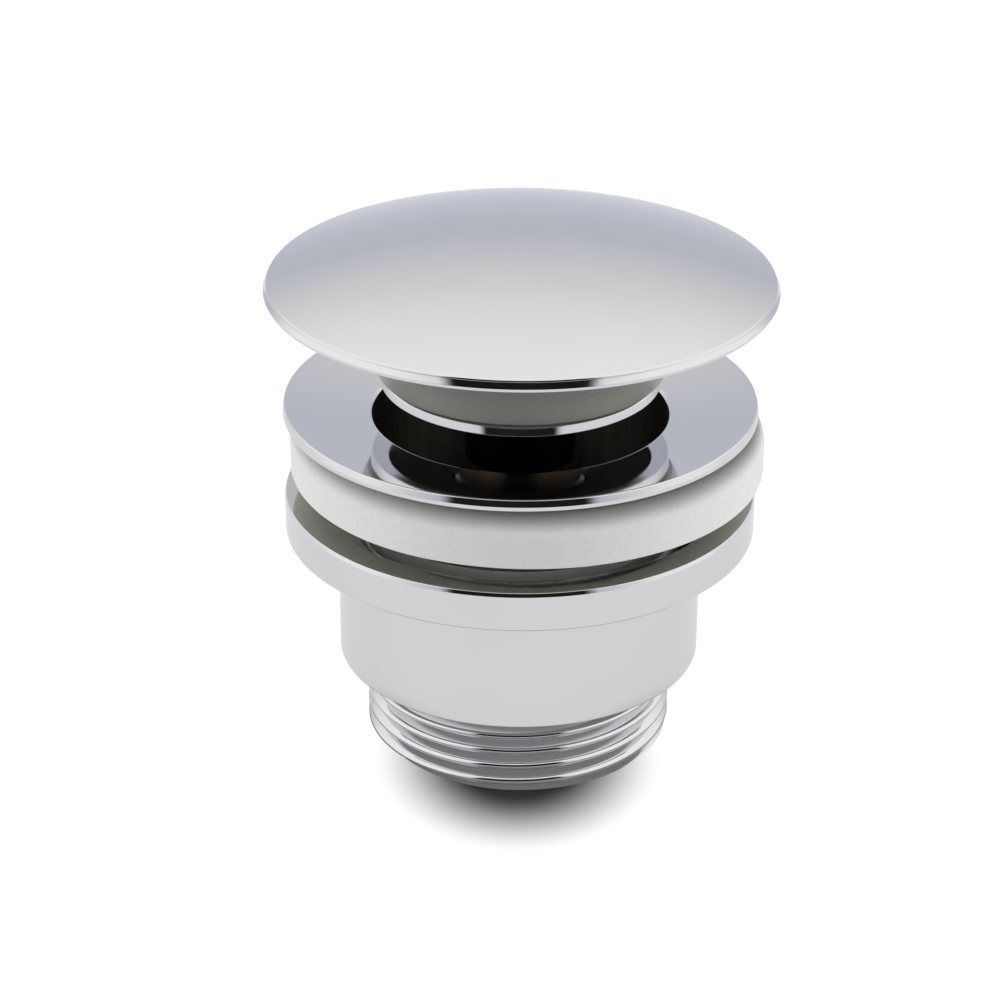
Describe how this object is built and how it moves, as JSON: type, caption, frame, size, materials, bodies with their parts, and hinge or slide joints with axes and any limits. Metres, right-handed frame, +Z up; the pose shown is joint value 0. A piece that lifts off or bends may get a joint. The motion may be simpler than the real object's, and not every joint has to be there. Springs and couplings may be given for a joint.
{
  "type": "pop up basin waste",
  "caption": "Click-clack basin waste: domed push cap with a conical seal, dished flange on a barrel, foam washer, and a lower body with a parallel pipe thread on its tail.",
  "frame": {"origin": "centre of the tail's end face, on the axis of the turned pieces", "axes": "+Z up along that axis, from the tail to the cap; +X and +Y along two arms of the hidden cross, with -Y towards the viewer of the picture"},
  "size_m": [0.068, 0.068, 0.0728],
  "materials": {
    "lower_body": "polished chrome plate",
    "thread_seal": "moulded black rubber",
    "foam_washer": "white closed-cell foam",
    "upper_body": "polished chrome plate",
    "cartridge_body": "polished chrome plate",
    "guide_bush": "moulded natural acetal",
    "spindle_seal": "moulded black rubber",
    "follower_pin": "bright stainless steel",
    "lock_washer": "bright stainless steel",
    "lock_nut": "turned brass",
    "end_plug": "turned brass",
    "return_spring": "bright stainless steel",
    "spring_cup": "moulded natural acetal",
    "index_drum": "moulded natural acetal",
    "spindle": "polished chrome plate",
    "drum_clip": "bright stainless steel",
    "cap_dome": "polished chrome plate",
    "cap_boss": "turned brass",
    "plug_seal": "translucent grey silicone, satin",
    "ring_nut": "polished chrome plate"
  },
  "bodies": {
    "lower": {"lower_body": "lower_body", "thread_seal": "thread_seal"},
    "washer": {"foam_washer": "foam_washer"},
    "upper": {"upper_body": "upper_body", "cartridge_body": "cartridge_body", "guide_bush": "guide_bush", "spindle_seal": "spindle_seal", "follower_pin": "follower_pin", "lock_washer": "lock_washer", "lock_nut": "lock_nut", "end_plug": "end_plug", "return_spring": "return_spring"},
    "carrier": {"spring_cup": "spring_cup"},
    "index": {"index_drum": "index_drum"},
    "plunger": {"spindle": "spindle", "drum_clip": "drum_clip", "cap_dome": "cap_dome", "cap_boss": "cap_boss", "plug_seal": "plug_seal", "ring_nut": "ring_nut"}
  },
  "joints": [
    {"name": "clamp_travel", "type": "slide", "parent": "lower", "child": "washer", "axis": [0, 0, 1], "range_m": [-0.0032, 0.0069]},
    {"name": "clamp_turn", "type": "hinge", "parent": "washer", "child": "upper", "pos_m": [0, 0, 0.04775], "axis": [0, 0, 1], "range_deg": [-767, 1655]},
    {"name": "cap_travel", "type": "slide", "parent": "upper", "child": "carrier", "axis": [0, 0, 1], "range_m": [-0.0066, 0], "stiffness_N_per_m": 900, "springref_m": 0.01, "deforming": ["return_spring"]},
    {"name": "index_turn", "type": "hinge", "parent": "carrier", "child": "index", "pos_m": [0, 0, 0.0239], "axis": [0, 0, 1], "range_deg": [0, 30]},
    {"name": "cap_spin", "type": "hinge", "parent": "carrier", "child": "plunger", "pos_m": [0, 0, 0.0211], "axis": [0, 0, 1], "continuous": true}
  ],
  "couplings": [
    {"joint": "clamp_travel", "follows": "clamp_turn", "m_per_rad": 0.00023873},
    {"joint": "index_turn", "follows": "cap_travel", "rad_per_m": -79.33}
  ]
}
